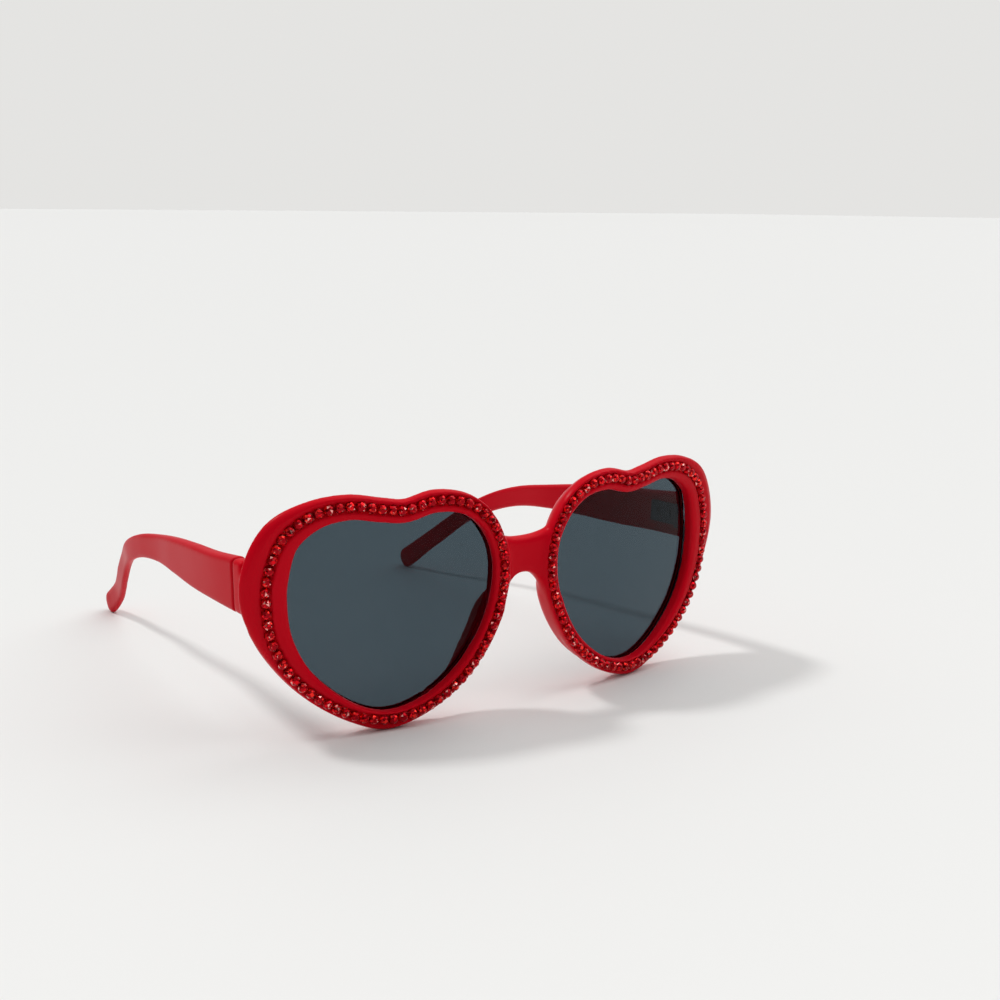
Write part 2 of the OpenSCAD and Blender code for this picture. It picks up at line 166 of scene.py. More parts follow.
# Nose pads: reach behind the rim, thickness, lean away from the nose, and from the rim's edge to the root
PAD_REACH = 4
PAD_T = 1.8
PAD_LEAN = 2.2
PAD_INSET = 1.2
# Rows of the heart between which a pad runs, and the share of its reach and thickness kept at both ends
PAD_ROWS = (10.9, 14.3)
PAD_LEAST = 0.04
PAD_ENDS = 0.4
# Powers that place a pad's fullest part and round its swell, and the lean's share at its top and its fade
PAD_PEAK = 0.62
PAD_FULLNESS = 0.9
PAD_LEAN_TOP = 1.3
PAD_LEAN_FADE = 0.8

# Temples: reach from joint to tip, height, thickness, height of the middle line at the joint, and bow
TEMPLE_L = 121
TEMPLE_H = 13
TEMPLE_T = 4
TEMPLE_Z = 37.5
TEMPLE_BOW = 14.2
# Half height of the rounded tip, and the angle at which its last ring closes, in degrees
TIP_R = 3.4
TIP_END = 86
# Radius of a bar's long edges, and its limit as a share of the bar's width and height
BAR_ROUND = 1.3
ROUND_LIMIT = 0.45
# How far the left temple stands folded in, in degrees
LEFT_REST = 4.6

# Hinges: radius and height of a barrel, gap between two, and gap between a temple and its end piece
BARREL_R = 1.5
BARREL_H = 1.9
BARREL_GAP = 0.1
BUTT_GAP = 0.1
HINGE_H = 3 * BARREL_H + 2 * BARREL_GAP
# The left hinge's axis, and the middle of the temple's thickness beside it
HINGE_X = next(joint["pos_m"][0] for joint in frame["joints"] if joint["name"] == "left_fold") / MM
JOINT_X = HINGE_X + TEMPLE_T / 2 + BARREL_R + BUTT_GAP
# Where a rim ends beside a temple, to a tenth of a micrometre, and the joint behind it
EDGE_SHARE = 0.95
END_PIECE_L = 1.6
EDGE_ANGLE = (HEART_GAP + HEART_W + EDGE_SHARE * OUTER_BAND) / WRAP_R
EDGE_Y = round(WRAP_R - (WRAP_R - RIM_D) * math.cos(EDGE_ANGLE), 4)
JOINT_Y = EDGE_Y + END_PIECE_L
# Boss in front of the hinge: its width and height, and where it starts and ends
BOSS_W = JOINT_X - HINGE_X + 2 * BARREL_R
BOSS_H = HINGE_H + 2 * BAR_ROUND
BOSS_START = EDGE_Y - 0.4 * RIM_D
BOSS_END = JOINT_Y - BARREL_R - 4 * BUTT_GAP
# Half of the length from the foremost stones to the back of the tips, which is the frame's origin
MID_Y = (JOINT_Y + TEMPLE_L - STONE_H + CHANNEL_D - CEMENT_T) / 2

# One heart, anticlockwise from its temple side: across, up, inner band, outer band, fall of its edge
HEART = [
    (1, 0.58, 1, 0.9, 0.12), (0.99, 0.72, 1, 0.95, 0.03), (0.93, 0.88, 0.86, 0.78, 0),
    (0.81, 0.975, 0.72, 0.5, 0.03), (0.67, 1, 0.62, 0.42, 0.05), (0.54, 0.978, 0.61, 0.4, 0.05),
    (0.44, 0.966, 0.61, 0.38, 0.05), (0.31, 0.995, 0.59, 0.38, 0.05), (0.17, 0.965, 0.54, 0.34, 0.03),
    (0.06, 0.86, 0.5, 0.29, 0), (0.005, 0.7, 0.49, 0.28, 0), (0.008, 0.53, 0.49, 0.3, 0),
    (0.06, 0.36, 0.45, 0.3, 0.03), (0.145, 0.202, 0.47, 0.245, 0.12), (0.266, 0.083, 0.44, 0.245, 0.17),
    (0.4, 0.015, 0.38, 0.34, 0.14), (0.53, 0, 0.345, 0.47, 0.12), (0.663, 0.04, 0.48, 0.35, 0.2),
    (0.796, 0.132, 0.66, 0.32, 0.26), (0.907, 0.256, 0.83, 0.35, 0.28), (0.98, 0.418, 0.96, 0.57, 0.26),
]
# A rim's front inside and outside the channel: share of the band, and depth over the crown's height
INNER_FRONT = [(1, 3.6), (0.9, 1.6), (0.55, 0.3), (0.12, 0)]
OUTER_FRONT = [(0.1, 0), (0.4, -0.75), (0.74, 0.5), (0.94, 2.8), (1, 5)]
# Drop of the channel's outer lip as a share of the edge's fall, and its limit as a share of the channel
LIP_SHARE = 0.35
LIP_LIMIT = 0.6
# A rim's back outside and inside: share of the band, share of the rim's depth, and outside share of the fall
OUTER_BACK = [(1, 0.3, 1), (0.6, 0.62, 0.5), (-0.1, 1, 0)]
INNER_BACK = [(0.6, 1), (1, 0.94)]
# One side of a pad's section, from root to edge: share of its reach, lean and thickness
PAD_SHARES = [(-0.8, 0, 1.2), (0.1, 0.12, 1), (0.5, 0.5, 0.92), (0.86, 0.86, 0.8), (1, 1, 0.4)]
# A temple's middle line: along, up, bowed in, height at the root, height at the tip, thickness
TEMPLE = [
    (0, 1, 0, 1, 0, 1), (0.104, 0.98, 0, 0.9, 0, 0.97), (0.224, 0.958, 0.06, 0.845, 0, 0.92),
    (0.343, 0.938, 0.14, 0.72, 0, 0.86), (0.462, 0.904, 0.23, 0.565, 0, 0.8),
    (0.575, 0.845, 0.25, 0.49, 0, 0.72), (0.675, 0.738, 0.31, 0.45, 0, 0.62),
    (0.765, 0.58, 0.48, 0.4, 0, 0.52), (0.85, 0.37, 0.63, 0.43, 0.02, 0.48),
    (0.922, 0.18, 0.77, 0.21, 0.5, 0.5), (0.97, 0.065, 0.8, 0.06, 0.86, 0.53), (1, 0, 0.8, 0, 1, 0.56),
]
# Rings of each sweep, steps of a rounded corner, and the part of a row over which a direction is taken
RIM_STATIONS = 420
PAD_STATIONS = 60
BRIDGE_STATIONS = 48
TEMPLE_STATIONS = 170
TIP_STATIONS = 14
CORNER_STEPS = 6
ROW_STEP = 0.01

# Moulded skins: size of their fine mesh, and what lies lower than this is their flat foot
FINE_MM = 0.3
FOOT_MM = 0.03
# Rounds that round the edges, each a step towards the neighbours' middle and one back that keeps the size
FINE_ROUNDS = 5
ROUND_IN = 0.6
ROUND_OUT = -0.45
# Extra smoothing in a box: its share of the way in each round, and the share of the box over which it fades
FLOW_SHARE = 0.5
FLOW_FADE = 0.15
# Height over which a temple's club end settles on the floor
CLUB_MM = 12


def mirrored(low, high, rounds):
    """A box on the left side, and the same one on the right side."""
    return [(low, high, rounds), ((-high[0], *low[1:]), (-low[0], *high[1:]), rounds)]


# Boxes in which the bridge, the end pieces and the nose pads flow into the rims: two corners, and rounds
FLOWING = [
    ((-15, -68.3, 4), (15, -50, 33), 40),
    ((-12, -72, 26), (12, -50, 55), 36),
    *mirrored((60, -57.5, 27), (77, -44, 48), 16),
    *mirrored((19.5, -65.5, -1), (28, -56, 7.6), 50),
]
# The box in which a temple's club end rounds off
CLUB_FLOWING = [((-80, 50, -6), (80, 90, 22), 14)]


# Materials

def nodes_of(material):
    """Clears a material's node tree but its output, and gives the tree and that output."""
    material.use_nodes = True
    tree = material.node_tree
    tree.nodes.clear()
    return tree, tree.nodes.new("ShaderNodeOutputMaterial")


def principled(tree, out, colour, roughness, **sockets):
    """A Principled shader with plain values on its own sockets."""
    shader = tree.nodes.new("ShaderNodeBsdfPrincipled")
    shader.inputs["Base Color"].default_value = (*colour, 1)
    shader.inputs["Roughness"].default_value = roughness
    for name, value in sockets.items():
        shader.inputs[name.replace("_", " ")].default_value = value
    tree.links.new(shader.outputs["BSDF"], out.inputs["Surface"])
    return shader


def noise(tree, scale, detail=3, squeeze=(1, 1, 1)):
    """Noise over the object's own coordinates, so that it stays put when the piece moves."""
    where = tree.nodes.new("ShaderNodeTexCoord")
    mapping = tree.nodes.new("ShaderNodeMapping")
    mapping.inputs["Scale"].default_value = squeeze
    texture = tree.nodes.new("ShaderNodeTexNoise")
    texture.inputs["Scale"].default_value = scale
    texture.inputs["Detail"].default_value = detail
    tree.links.new(where.outputs["Object"], mapping.inputs["Vector"])
    tree.links.new(mapping.outputs["Vector"], texture.inputs["Vector"])
    return texture.outputs["Fac"]


def spread(tree, value, low, high):
    """Maps a noise value to the range from low to high."""
    node = tree.nodes.new("ShaderNodeMapRange")
    node.inputs["From Min"].default_value = NOISE_RANGE[0]
    node.inputs["From Max"].default_value = NOISE_RANGE[1]
    node.inputs["To Min"].default_value = low
    node.inputs["To Max"].default_value = high
    tree.links.new(value, node.inputs["Value"])
    return node.outputs["Result"]


def ramp_of(tree, value, stops, interpolation="LINEAR"):
    """The colour that a ramp of (place, colour) gives a value."""
    node = tree.nodes.new("ShaderNodeValToRGB")
    node.color_ramp.interpolation = interpolation
    elements = node.color_ramp.elements
    elements.remove(elements[1])
    elements[0].position = stops[0][0]
    elements[0].color = (*stops[0][1], 1)
    for at, colour in stops[1:]:
        elements.new(at).color = (*colour, 1)
    tree.links.new(value, node.inputs["Fac"])
    return node.outputs["Color"]


def between(tree, value, first, second):
    """A colour between two, by a noise value."""
    return ramp_of(tree, value, [(NOISE_RANGE[0], first), (NOISE_RANGE[1], second)])


def bump(tree, shader, layers):
    """Bumps of (noise, height in millimetres, strength), one on the other."""
    normal = None
    for value, height, strength in layers:
        node = tree.nodes.new("ShaderNodeBump")
        node.inputs["Distance"].default_value = height * MM
        node.inputs["Strength"].default_value = strength
        tree.links.new(value, node.inputs["Height"])
        if normal is not None:
            tree.links.new(normal, node.inputs["Normal"])
        normal = node.outputs["Normal"]
    tree.links.new(normal, shader.inputs["Normal"])


def moulded_plastic(name, colour, deep, roughness, specular, sheen, wave):
    """Satin moulded plastic: colour that varies a little, a pale bloom, faint waves and a fine grain."""
    material = bpy.data.materials.new(name)
    tree, out = nodes_of(material)
    shader = principled(tree, out, colour, roughness, Specular_IOR_Level=specular, Sheen_Weight=sheen,
                        Sheen_Roughness=0.22)
    shader.inputs["Sheen Tint"].default_value = (*BLOOM_TINT, 1)
    waves = noise(tree, scale=36, detail=1)
    patches = noise(tree, scale=90, detail=1)
    grain = noise(tree, scale=3600, detail=2)
    tree.links.new(between(tree, waves, deep, colour), shader.inputs["Base Color"])
    rough = spread(tree, patches, low=0.94 * roughness, high=1.06 * roughness)
    tree.links.new(rough, shader.inputs["Roughness"])
    bump(tree, shader, [(waves, 0.3, wave), (grain, 0.012, 0.1)])
    return material


def lens_glass(name):
    """Slate grey lens: what passes is dimmed, and the surfaces mirror sharply."""
    material = bpy.data.materials.new(name)
    tree, out = nodes_of(material)
    shader = principled(tree, out, LENS_COLOUR, roughness=0.0, IOR=1.15, Transmission_Weight=1.0)
    tree.links.new(between(tree, noise(tree, scale=50), *LENS_PATCHES), shader.inputs["Base Color"])
    return material


def stone_glass(name):
    """Deep red cut stones with a mirror behind them: each facet takes a red from dark to bright by chance, which
    is painted sparkle, and a few pale pink facets are painted glints.
    """
    material = bpy.data.materials.new(name)
    tree, out = nodes_of(material)
    shader = principled(tree, out, STONE_COLOUR, roughness=0.08, Metallic=0.78, Coat_Weight=0.06,
                        Coat_Roughness=0.02, Coat_IOR=1.5, Specular_IOR_Level=0.15)
    where = tree.nodes.new("ShaderNodeTexCoord")
    facet = tree.nodes.new("ShaderNodeTexWhiteNoise")
    tree.links.new(where.outputs["Normal"], facet.inputs["Vector"])
    # Painted sparkle: a red by chance for each facet, from dark ones to pale pink painted glints
    red = ramp_of(tree, facet.outputs["Value"], PAINTED_FACET_SPARKLE, interpolation="CONSTANT")
    tree.links.new(red, shader.inputs["Base Color"])
    rough = spread(tree, noise(tree, scale=800), low=0.06, high=0.12)
    tree.links.new(rough, shader.inputs["Roughness"])
    return material


def brushed_metal(name):
    """Nickel plate with fine lines along its height, its colour darkened as painted shade."""
    material = bpy.data.materials.new(name)
    tree, out = nodes_of(material)
    shader = principled(tree, out, SHADED_METAL_COLOUR, roughness=0.3, Metallic=1.0)
    lines = noise(tree, scale=9000, detail=2, squeeze=(1, 1, 0.05))
    tree.links.new(spread(tree, lines, low=0.24, high=0.42), shader.inputs["Roughness"])
    tree.links.new(between(tree, noise(tree, scale=700), *SHADED_METAL_PATCHES), shader.inputs["Base Color"])
    bump(tree, shader, [(lines, 0.01, 0.2)])
    return material


MATERIALS = {
    "front_plastic": moulded_plastic("front_plastic", **FRONT_LOOK),
    "temple_plastic": moulded_plastic("temple_plastic", **TEMPLE_LOOK),
    "lens_tint": lens_glass("lens_tint"),
    "stone_glass": stone_glass("stone_glass"),
    "hinge_metal": brushed_metal("hinge_metal"),
}


# Pieces, each with the material and the body of the CAD node that it stands for

SLOT_OF = {part["node"]: part["material_slot"] for part in frame["record"]["subparts"]}
BODY_OF = {node: body for body, members in frame["record"]["behaviour"]["bodies"].items() for node in members}


def dress(obj, slot):
    """Gives a piece the material of its slot."""
    obj.data.materials.clear()
    obj.data.materials.append(MATERIALS[slot])


def settle(obj, node):
    """The piece stands for one CAD node, rides on its body and takes its slot."""
    dress(obj, SLOT_OF[node])
    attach(obj, BODY_OF[node])
    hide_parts(node)


def new_object(name, points, faces):
    """A mesh object in the scene, made of points and faces."""
    mesh = bpy.data.meshes.new(name)
    mesh.from_pydata([tuple(p) for p in points], [], faces)
    obj = bpy.data.objects.new(name, mesh)
    bpy.context.scene.collection.objects.link(obj)
    return obj


# Curves and sections of the front and the temples

def unit(vectors):
    """Each vector at length one."""
    return vectors / np.linalg.norm(vectors, axis=-1, keepdims=True)


def row_at(rows, u, closed=False):
    """Smooth curve through the rows of a table at row number u."""
    rows = np.array(rows, dtype=float)
    n = len(rows)
    i = np.floor(u).astype(int)
    if not closed:
        i = np.minimum(i, n - 2)
    t = (u - i)[:, None]
    near = i[:, None] + np.arange(-1, 3)
    near = near % n if closed else np.clip(near, 0, n - 1)
    a, b, c, d = (rows[near[:, k]] for k in range(4))
    bend = (2 * a - 5 * b + 4 * c - d) * t ** 2
    twist = (3 * b - a - 3 * c + d) * t ** 3
    return 0.5 * (2 * b + (c - a) * t + bend + twist)


def heart_place(u):
    """The stone line in the unrolled front at row number u: across and up."""
    rows = row_at(HEART, u, closed=True)
    return np.stack([HEART_GAP + HEART_W * rows[:, 0], STONE_Z + HEART_H * rows[:, 1]], axis=1)


def heart_line(u):
    """The stone line at row number u: place, outward normal, inner band, outer band and fall."""
    along = unit(heart_place(u + ROW_STEP) - heart_place(u - ROW_STEP))
    normal = np.stack([along[:, 1], -along[:, 0]], axis=1)
    rows = row_at(HEART, u, closed=True)
    fall = RIM_D * np.maximum(rows[:, 4], 0)
    return heart_place(u), normal, INNER_BAND * rows[:, 2], OUTER_BAND * rows[:, 3], fall


def rolled(centre, normal, section):
    """Rings of section points (outwards, back) along the stone line, rolled on to the wrapped front."""
    out = np.stack([np.broadcast_to(point[0], len(centre)) for point in section], axis=1)
    back = np.stack([np.broadcast_to(point[1], len(centre)) for point in section], axis=1)
    across = centre[:, None, 0] + out * normal[:, None, 0]
    up = centre[:, None, 1] + out * normal[:, None, 1]
    x = (WRAP_R - back) * np.sin(across / WRAP_R)
    y = WRAP_R - (WRAP_R - back) * np.cos(across / WRAP_R) - MID_Y
    return np.stack([x, y, up], axis=-1)


def rim_rings():
    """Section of a rim round its heart: inner wall, front with its channel, outer edge, back and groove."""
    u = np.linspace(0, len(HEART), RIM_STATIONS, endpoint=False)
    centre, normal, inner, outer, fall = heart_line(u)
    inside, outside = inner - CHANNEL_W, outer - CHANNEL_W
    lip = np.minimum(LIP_SHARE * fall, LIP_LIMIT * CHANNEL_D)
    groove_back = LENS_RECESS + GROOVE_T
    section = [(-inner, LENS_RECESS)]
    section += [(-CHANNEL_W - a * inside, b * CROWN_H) for a, b in INNER_FRONT]
    section += [(-CHANNEL_W, 0), (-CHANNEL_W, CHANNEL_D), (CHANNEL_W, CHANNEL_D), (CHANNEL_W, lip)]
    section += [(CHANNEL_W + a * outside, b * CROWN_H + a * fall + (1 - a) * lip) for a, b in OUTER_FRONT]
    section += [(a * outer, b * RIM_D + c * fall) for a, b, c in OUTER_BACK]
    section += [(-CHANNEL_W - a * inside, b * RIM_D) for a, b in INNER_BACK]
    section += [(-inner, groove_back), (GROOVE_D - inner, groove_back), (GROOVE_D - inner, LENS_RECESS)]
    return rolled(centre, normal, section)


def pad_rings():
    """Nose pad: a tongue along the nose side of a rim, which leans away from the nose behind it."""
    v = np.linspace(0, 1, PAD_STATIONS)
    centre, normal, _, outer, _ = heart_line(PAD_ROWS[0] * (1 - v) + PAD_ROWS[1] * v)
    swell = np.sin(math.pi * v ** PAD_PEAK).clip(0) ** PAD_FULLNESS
    grow = PAD_LEAST + (1 - PAD_LEAST) * swell
    lean = PAD_LEAN * grow * (PAD_LEAN_TOP - PAD_LEAN_FADE * v)
    half = PAD_T / 2 * (PAD_ENDS + (1 - PAD_ENDS) * grow)
    section = []
    for side, rows in ((1, PAD_SHARES), (-1, reversed(PAD_SHARES))):
        for reach, tilt, thick in rows:
            back = RIM_D + reach * PAD_REACH * (grow if reach > 0 else 1)
            section.append((outer - PAD_INSET - tilt * lean + side * thick * half, back))
    return rolled(centre, normal, section)


def rounded(width, height, radius):
    """Points of a rounded box about its middle, anticlockwise."""
    points = []
    for sx, sy, start in ((1, 1, 0), (-1, 1, 90), (-1, -1, 180), (1, -1, 270)):
        middle = sx * (width / 2 - radius), sy * (height / 2 - radius)
        for k in range(CORNER_STEPS + 1):
            a = math.radians(start + 90 * k / CORNER_STEPS)
            points.append((middle[0] + radius * math.cos(a), middle[1] + radius * math.sin(a)))
    return np.array(points)


def bar_section(width, height):
    """Section of an end piece, its boss or a temple."""
    return rounded(width, height, min(BAR_ROUND, ROUND_LIMIT * width, ROUND_LIMIT * height))


def bar_rings(x, width, height, start, end):
    """A straight bar from start to end, at the height of the temples' joints."""
    section = bar_section(width, height)
    return np.array([[(x + w, y - MID_Y, TEMPLE_Z + h) for w, h in section] for y in (start, end)])


def bridge_rings():
    """Saddle bridge from one rim to the other, flared at both ends and hollowed in front."""
    rings = []
    for t in np.linspace(-1, 1, BRIDGE_STATIONS):
        flare = abs(t) ** BRIDGE_POWER
        top = BRIDGE_Z + flare * BRIDGE_RISE
        bottom = BRIDGE_Z - BRIDGE_H - flare * BRIDGE_FALL
        front = BRIDGE_SET + BRIDGE_DIP * (1 - t * t)
        back = RIM_D - flare * BRIDGE_BACK
        middle = t * BRIDGE_X, (front + back) / 2 - MID_Y, (top + bottom) / 2
        section = rounded(back - front, top - bottom, BRIDGE_ROUND)
        rings.append([(middle[0], middle[1] + y, middle[2] + z) for y, z in section])
    return np.array(rings)


def temple_line(u):
    """The middle line of the left temple, folded out straight, at row number u."""
    rows = row_at(TEMPLE, u)
    x = JOINT_X - TEMPLE_BOW * rows[:, 2]
    y = JOINT_Y + (TEMPLE_L - TIP_R) * rows[:, 0] - MID_Y
    z = TIP_R + (TEMPLE_Z - TIP_R) * rows[:, 1]
    return np.stack([x, y, z], axis=1)


def temple_rings():
    """Rounded bar swept along a temple's middle line, with a half round tip."""
    last = len(TEMPLE) - 1
    u = np.linspace(0, last, TEMPLE_STATIONS)
    rows = row_at(TEMPLE, u)
    centre = temple_line(u)
    along = temple_line(np.minimum(u + ROW_STEP, last)) - temple_line(np.maximum(u - ROW_STEP, 0))
    along[0] = (0, 1, 0)
    along = unit(along)
    high = TEMPLE_H * rows[:, 3] + 2 * TIP_R * rows[:, 4]
    wide = TEMPLE_T * rows[:, 5]
    turns = np.radians(np.linspace(0, TIP_END, TIP_STATIONS + 1)[1:])
    centre = np.vstack([centre, centre[-1] + TIP_R * np.sin(turns)[:, None] * along[-1]])
    along = np.vstack([along, np.repeat(along[-1:], TIP_STATIONS, axis=0)])
    high = np.append(high, high[-1] * np.cos(turns))
    wide = np.append(wide, wide[-1] * np.sqrt(np.cos(turns)))
    out = unit((1, 0, 0) - along * along[:, :1])
    up = np.cross(out, along)
    sections = np.array([bar_section(w, h) for w, h in zip(wide, high)])
    return centre[:, None] + sections[..., :1] * out[:, None] + sections[..., 1:] * up[:, None]


def add_sweep(points, faces, rings, closed=False, flip=False):
    """Faces between rings of points, and flat ends for an open sweep. Flip mirrors it to the other side."""
    rings = rings * ((-1, 1, 1) if flip else (1, 1, 1))
    count, m = rings.shape[:2]
    start = len(points)
    points.extend(rings.reshape(-1, 3))
    for i in range(count if closed else count - 1):
        low, high = start + i * m, start + ((i + 1) % count) * m
        for j in range(m):
            k = (j + 1) % m
            a, b, c, d = low + j, low + k, high + k, high + j
            faces.append((a, b, c, d) if flip else (a, d, c, b))
    if not closed:
        first = tuple(range(start, start + m))
        last = tuple(range(start + (count - 1) * m, start + count * m))
        faces.append(first[::-1] if flip else first)
        faces.append(last if flip else last[::-1])


# Moulded skins

def neighbours_of(mesh):
    """Both ends of each edge of a mesh, and how many edges meet at each vertex."""
    ends = np.empty(len(mesh.edges) * 2, dtype=np.int64)
    mesh.edges.foreach_get("vertices", ends)
    ends = ends.reshape(-1, 2)
    return ends, np.bincount(ends.ravel(), minlength=len(mesh.vertices))


def relaxed(points, ends, count, share):
    """Each point moved by a share of the way to the middle of its neighbours."""
    total = np.zeros_like(points)
    np.add.at(total, ends[:, 0], points[ends[:, 1]])
    np.add.at(total, ends[:, 1], points[ends[:, 0]])
    return points + share * (total / count[:, None] - points)


def fine_skin(name, points, faces, flowing):
    """Joins closed solids into one fine skin, rounds its edges and lets it flow more in the given boxes."""
    obj = new_object(name, points, faces)
    remesh = obj.modifiers.new("remesh", "REMESH")
    remesh.mode = "VOXEL"
    remesh.voxel_size = FINE_MM
    fine = bpy.data.meshes.new_from_object(obj.evaluated_get(bpy.context.evaluated_depsgraph_get()))
    obj.modifiers.clear()
    obj.data = fine
    skin = np.empty(len(fine.vertices) * 3)
    fine.vertices.foreach_get("co", skin)
    skin = skin.reshape(-1, 3)
    ends, count = neighbours_of(fine)
    for _ in range(FINE_ROUNDS):
        skin = relaxed(skin, ends, count, ROUND_IN)
        skin = relaxed(skin, ends, count, ROUND_OUT)
    for low, high, rounds in flowing:
        middle, half = (np.array(high) + low) / 2, (np.array(high) - low) / 2
        inside = 1 - np.abs((skin - middle) / half).max(axis=1)
        share = FLOW_SHARE * np.clip(inside / FLOW_FADE, 0, 1)[:, None]
        for _ in range(rounds):
            skin = relaxed(skin, ends, count, share)
    return obj, skin


def finish_skin(obj, skin, node):
    """Gives a piece its fine skin in metres, with a flat foot on the floor, in place of a CAD node."""
    skin[:, 2] = np.where(skin[:, 2] < FOOT_MM, 0, skin[:, 2])
    obj.data.vertices.foreach_set("co", (skin * MM).ravel())
    obj.data.update()
    obj.data.shade_smooth()
    settle(obj, node)


def moulded_front():
    """The front as one skin: rims, nose pads, end pieces with their bosses, and the bridge."""
    points, faces = [], []
    end_piece = bar_rings(JOINT_X, TEMPLE_T, TEMPLE_H, EDGE_Y - RIM_D / 2, JOINT_Y - BUTT_GAP)
    boss = bar_rings(JOINT_X - BOSS_W / 2, BOSS_W, BOSS_H, BOSS_START, BOSS_END)
    for flip in (False, True):
        add_sweep(points, faces, rim_rings(), closed=True, flip=flip)
        for rings in (pad_rings(), end_piece, boss):
            add_sweep(points, faces, rings, flip=flip)
    add_sweep(points, faces, bridge_rings())
    obj, skin = fine_skin("moulded_front", points, faces, FLOWING)
    finish_skin(obj, skin, "front_frame")


def moulded_temple(side):
    """A temple whose club end settles on the floor. The left one stands folded in by its own angle."""
    points, faces = [], []
    add_sweep(points, faces, temple_rings(), flip=side == "right")
    obj, skin = fine_skin(f"moulded_temple_{side}", points, faces, CLUB_FLOWING)
    lift = skin[:, 2].min() - FOOT_MM
    skin[:, 2] -= lift * np.clip(1 - skin[:, 2] / CLUB_MM, 0, 1)
    if side == "left":
        turn, pin = math.radians(LEFT_REST), np.array([HINGE_X, JOINT_Y - MID_Y])
        x, y = (skin[:, :2] - pin).T
        skin[:, 0] = pin[0] + x * math.cos(turn) - y * math.sin(turn)
        skin[:, 1] = pin[1] + x * math.sin(turn) + y * math.cos(turn)
    finish_skin(obj, skin, f"temple_{side}")


# Cut stones

def solids_of(mesh):
    """The mesh's vertices in groups, one for each separate solid."""
    welded = {}
    key = [welded.setdefault(tuple(round(c, SAME_DIGITS) for c in v.co), v.index) for v in mesh.vertices]
    parent = list(range(len(mesh.vertices)))

    def top(i):
        """The number that stands for the group which vertex i is in so far."""
        while parent[i] != i:
            parent[i] = parent[parent[i]]
            i = parent[i]
        return i

    for polygon in mesh.polygons:
        first = top(key[polygon.vertices[0]])
        for v in polygon.vertices[1:]:
            parent[top(key[v])] = first
    groups = {}
    for i in sorted(set(key)):
        groups.setdefault(top(i), []).append(np.array(mesh.vertices[i].co))
    return [np.array(g) for g in groups.values()]


def seat_of(solid):
    """Of a plain stone: the middle of its base, the way to its table, its height and a corner of its base."""
    order = np.argsort(np.linalg.norm(solid - solid.mean(axis=0), axis=1))
    table, base = solid[order[:STONE_SIDES]], solid[order[STONE_SIDES:]]
    foot = base.mean(axis=0)
    axis = table.mean(axis=0) - foot
    return foot, unit(axis), np.linalg.norm(axis), base[0]


def square_to(axis, vector):
    """What a vector has square to an axis."""
    return vector - np.dot(vector, axis) * axis


def stone_points(solid, chance):
    """Rings of a cut stone on a plain one's seat, which leans and is turned a little by chance."""
    foot, axis, height, corner = seat_of(solid)
    axis = unit(axis + square_to(axis, STONE_LEAN * chance.normal(size=3)))
    first = square_to(axis, corner - foot)
    radius = np.linalg.norm(first)
    first = unit(first)
    side = np.cross(axis, first)
    twist = chance.uniform(0, 2 * math.pi)
    points = []
    for share, up, turn in STONE_RINGS:
        for k in range(STONE_SIDES):
            a = twist + math.radians((k + turn / 2) * 360 / STONE_SIDES)
            out = math.cos(a) * first + math.sin(a) * side
            points.append(foot + share * radius * out + up * height * axis)
    return points


def stone_faces(start):
    """Facets between the rings of a stone, its foot and its table, from its first point's number."""
    faces = []
    for ring in range(len(STONE_RINGS) - 1):
        low = start + ring * STONE_SIDES
        high = low + STONE_SIDES
        shift = STONE_RINGS[ring + 1][2] - STONE_RINGS[ring][2]
        for k in range(STONE_SIDES):
            after = (k + 1) % STONE_SIDES
            a, b, c, d = low + k, low + after, high + after, high + k
            if shift > 0:
                faces += [(a, b, d), (b, c, d)]
            elif shift < 0:
                faces += [(a, b, c), (a, c, d)]
            else:
                faces.append((a, b, c, d))
    last = start + (len(STONE_RINGS) - 1) * STONE_SIDES
    faces.append(tuple(reversed(range(start, start + STONE_SIDES))))
    faces.append(tuple(range(last, last + STONE_SIDES)))
    return faces


def cut_stones(side):
    """Cut stones in the places of the CAD's plain ones: pavilion, girdle, crown and table."""
    node = f"stones_{side}"
    chance = np.random.RandomState(STONE_SEED)
    points, faces = [], []
    for solid in solids_of(frame["nodes"][node].data):
        faces += stone_faces(len(points))
        points += stone_points(solid, chance)
    obj = new_object(f"cut_stones_{side}", points, faces)
    obj.data.validate()
    settle(obj, node)


def dress_nodes():
    """Materials for the CAD's own nodes, smooth but for the edges that are sharp."""
    for node, obj in frame["nodes"].items():
        dress(obj, SLOT_OF[node])
        obj.data.shade_smooth()
        obj.data.set_sharp_from_angle(angle=math.radians(SHARP_ANGLE))


# Camera, floor and light

def make_camera():
    """The photograph's camera, with its tilt, roll and shifted frame."""
    data = bpy.data.cameras.new("camera")
    obj = bpy.data.objects.new("camera", data)
    bpy.context.scene.collection.objects.link(obj)
    look = CAMERA_LOOK.normalized()
    level = look.cross(Vector((0, 0, 1))).normalized()
    upright = level.cross(look)
    right = math.cos(CAMERA_ROLL) * level + math.sin(CAMERA_ROLL) * upright
    up = math.cos(CAMERA_ROLL) * upright - math.sin(CAMERA_ROLL) * level
    turn = Matrix((right, up, -look)).transposed()
    obj.matrix_world = Matrix.Translation(CAMERA_AT) @ turn.to_4x4()
    data.sensor_width = SENSOR_MM
    data.lens = SENSOR_MM * FOCAL_PX / FRAME_PX
    data.shift_x = 0.5 - MIDDLE_PX[0] / FRAME_PX
    data.shift_y = MIDDLE_PX[1] / FRAME_PX - 0.5
    data.clip_start = CLIP_START
    bpy.context.scene.camera = obj


def make_floor():
    """A plain pale card under the part."""
    half = FLOOR_SIZE / 2
    corners = [(-half, -half, 0), (half, -half, 0), (half, half, 0), (-half, half, 0)]
    obj = new_object("floor", corners, [(0, 1, 2, 3)])
    material = bpy.data.materials.new("floor_card")
    tree, out = nodes_of(material)
    principled(tree, out, FLOOR_COLOUR, FLOOR_ROUGHNESS)
    obj.data.materials.append(material)


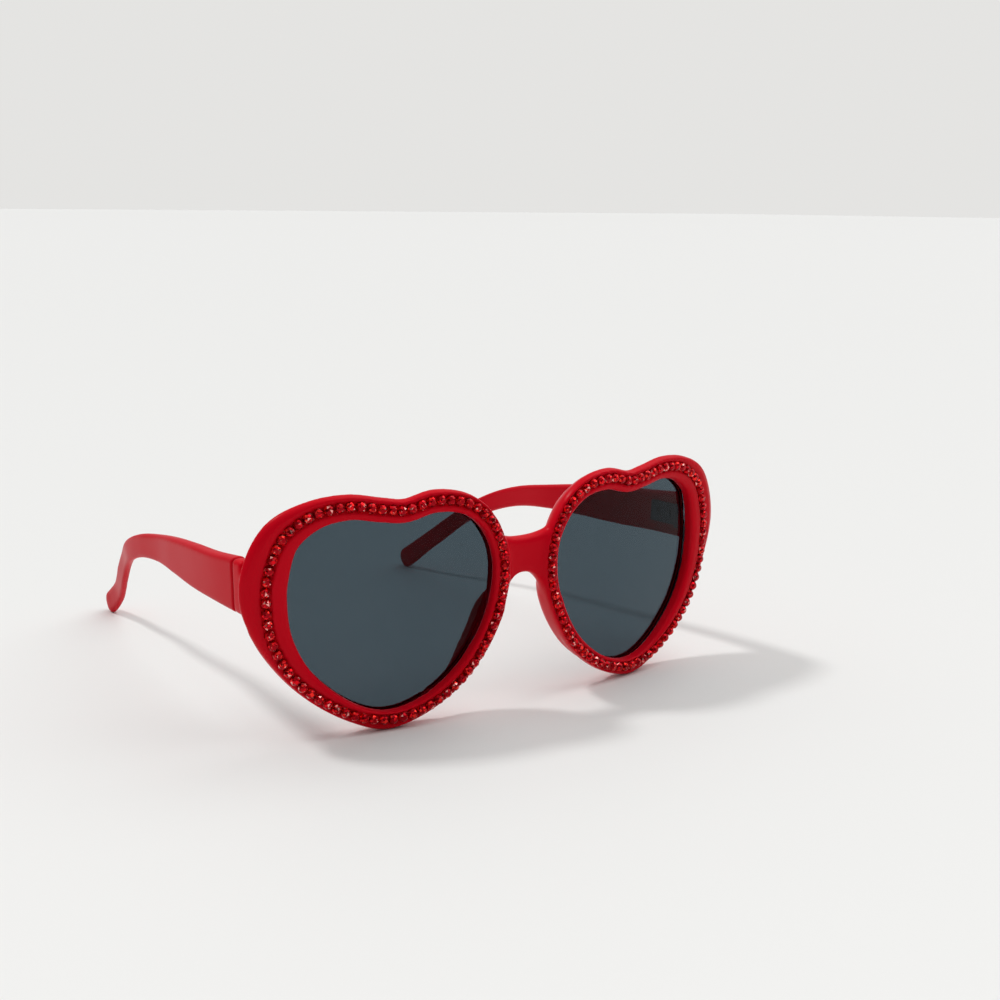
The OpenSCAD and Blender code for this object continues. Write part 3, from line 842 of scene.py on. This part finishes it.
def make_lights():
    """The lamps, which shine from far away."""
    for name, travel, strength, degrees in SUNS:
        data = bpy.data.lights.new(name, "SUN")
        data.energy = strength
        data.angle = math.radians(degrees)
        obj = bpy.data.objects.new(name, data)
        bpy.context.scene.collection.objects.link(obj)
        obj.rotation_mode = "QUATERNION"
        obj.rotation_quaternion = Vector(travel).to_track_quat("-Z", "Y")


def make_world():
    """A soft room, brighter above than below, with a plain pale backdrop."""
    world = bpy.data.worlds.new("room")
    bpy.context.scene.world = world
    world.use_nodes = True
    tree = world.node_tree
    tree.nodes.clear()
    out = tree.nodes.new("ShaderNodeOutputWorld")
    where = tree.nodes.new("ShaderNodeTexCoord")
    along = tree.nodes.new("ShaderNodeVectorMath")
    along.operation = "DOT_PRODUCT"
    along.inputs[1].default_value = WORLD_TOWARDS
    tree.links.new(where.outputs["Generated"], along.inputs[0])
    ramp = tree.nodes.new("ShaderNodeMapRange")
    ramp.data_type = "FLOAT_VECTOR"
    sockets = {socket.identifier: socket for socket in ramp.inputs}
    sockets["From_Min_FLOAT3"].default_value = (WORLD_RANGE[0],) * 3
    sockets["From_Max_FLOAT3"].default_value = (WORLD_RANGE[1],) * 3
    sockets["To_Min_FLOAT3"].default_value = WORLD_DIM
    sockets["To_Max_FLOAT3"].default_value = WORLD_LIT
    tree.links.new(along.outputs["Value"], ramp.inputs["Vector"])
    light = tree.nodes.new("ShaderNodeBackground")
    light.inputs["Strength"].default_value = WORLD_STRENGTH
    tree.links.new(ramp.outputs["Vector"], light.inputs["Color"])
    seen = tree.nodes.new("ShaderNodeBackground")
    seen.inputs["Color"].default_value = (*BACKDROP, 1)
    path = tree.nodes.new("ShaderNodeLightPath")
    most = tree.nodes.new("ShaderNodeMath")
    most.operation = "MAXIMUM"
    mix = tree.nodes.new("ShaderNodeMixShader")
    tree.links.new(path.outputs["Is Camera Ray"], most.inputs[0])
    tree.links.new(path.outputs["Is Transmission Ray"], most.inputs[1])
    tree.links.new(most.outputs["Value"], mix.inputs["Fac"])
    tree.links.new(light.outputs["Background"], mix.inputs[1])
    tree.links.new(seen.outputs["Background"], mix.inputs[2])
    tree.links.new(mix.outputs["Shader"], out.inputs["Surface"])


moulded_front()
for side in ("left", "right"):
    moulded_temple(side)
    cut_stones(side)
dress_nodes()
make_camera()
make_floor()
make_lights()
make_world()
bpy.context.scene.view_settings.view_transform = "Standard"
